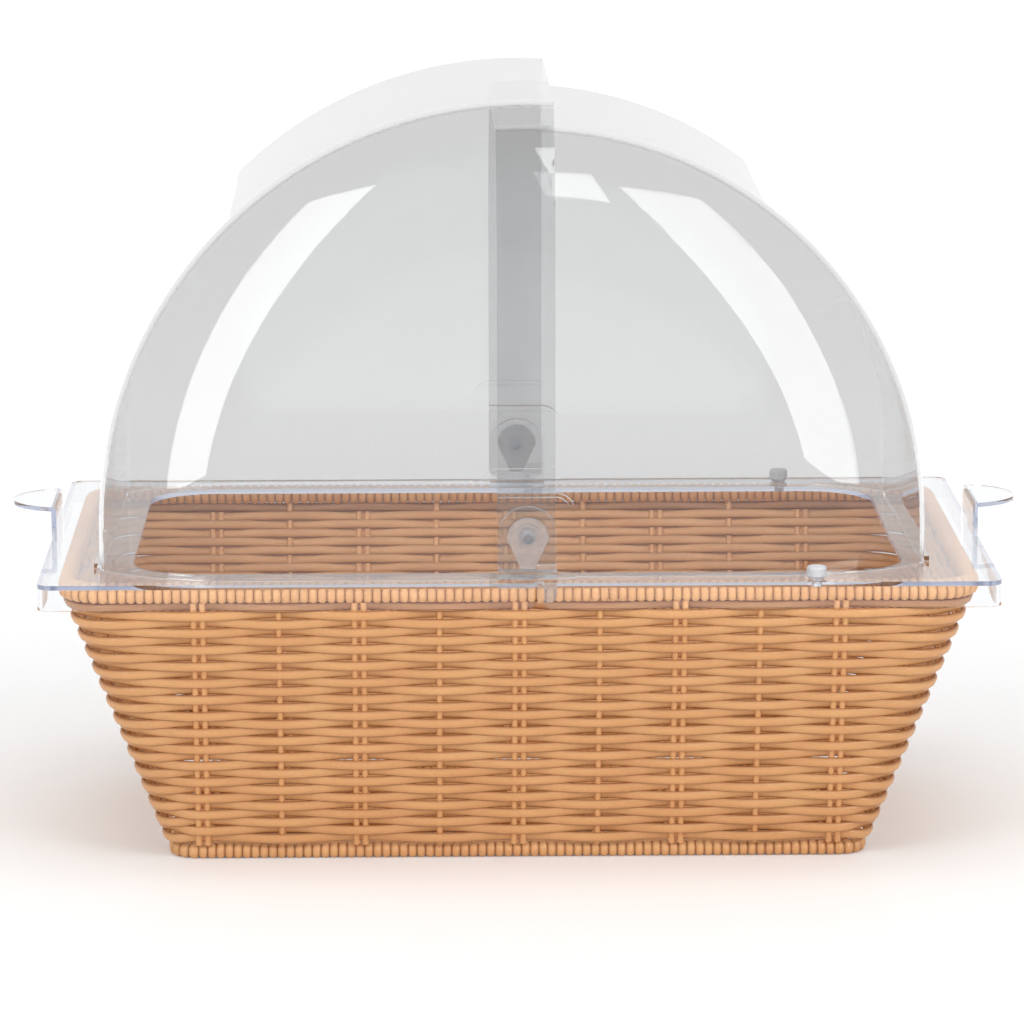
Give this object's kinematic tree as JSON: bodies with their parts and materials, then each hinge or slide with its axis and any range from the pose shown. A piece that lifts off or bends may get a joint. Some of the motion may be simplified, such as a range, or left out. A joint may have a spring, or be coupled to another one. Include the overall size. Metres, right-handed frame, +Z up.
{
  "type": "countertop bread display bin",
  "caption": "Tapered woven poly-rattan basket under a clear lift-off frame with two nesting quarter-round covers that roll open about a shared pivot.",
  "frame": {"origin": "on the counter, under the middle of the basket's foot", "axes": "+X to the right seen from the front, along the long side; -Y to the front; +Z up"},
  "size_m": [0.599, 0.3468, 0.4455],
  "materials": {
    "poly_rattan": "satin",
    "clear_plastic": "clear gloss",
    "frosted_plastic": "frosted",
    "steel_wire": "drawn wire"
  },
  "bodies": {
    "basket": {"basket_weave": "poly_rattan", "basket_floor": "poly_rattan", "top_rim_binding": "poly_rattan", "top_hoop_wire": "steel_wire", "bottom_rim_binding": "poly_rattan", "bottom_hoop_wire": "steel_wire", "stakes_front": "poly_rattan", "stakes_rear": "poly_rattan", "stakes_left": "poly_rattan", "stakes_right": "poly_rattan"},
    "frame": {"frame_plate": "clear_plastic", "handle_left": "clear_plastic", "handle_right": "clear_plastic", "pivot_ear_front": "clear_plastic", "pivot_ear_rear": "clear_plastic", "pivot_pin_front": "clear_plastic", "pivot_pin_rear": "clear_plastic", "pivot_knob_front": "clear_plastic", "pivot_knob_rear": "clear_plastic", "lock_clip_front": "clear_plastic", "lock_clip_rear": "clear_plastic", "stop_peg_front": "frosted_plastic", "stop_peg_rear": "frosted_plastic"},
    "outer_cover": {"outer_cover": "clear_plastic"},
    "inner_cover": {"inner_cover": "clear_plastic"}
  },
  "joints": [
    {"name": "frame_lift", "type": "slide", "parent": "basket", "child": "frame", "axis": [0, 0, 1], "range_m": [0, 0.15]},
    {"name": "outer_cover_roll", "type": "hinge", "parent": "frame", "child": "outer_cover", "pos_m": [0.0045, 0, 0.1995], "axis": [0, 1, 0], "range_deg": [0, 90.4]},
    {"name": "inner_cover_roll", "type": "hinge", "parent": "frame", "child": "inner_cover", "pos_m": [0.0045, 0, 0.1995], "axis": [0, -1, 0], "range_deg": [0, 90]}
  ]
}
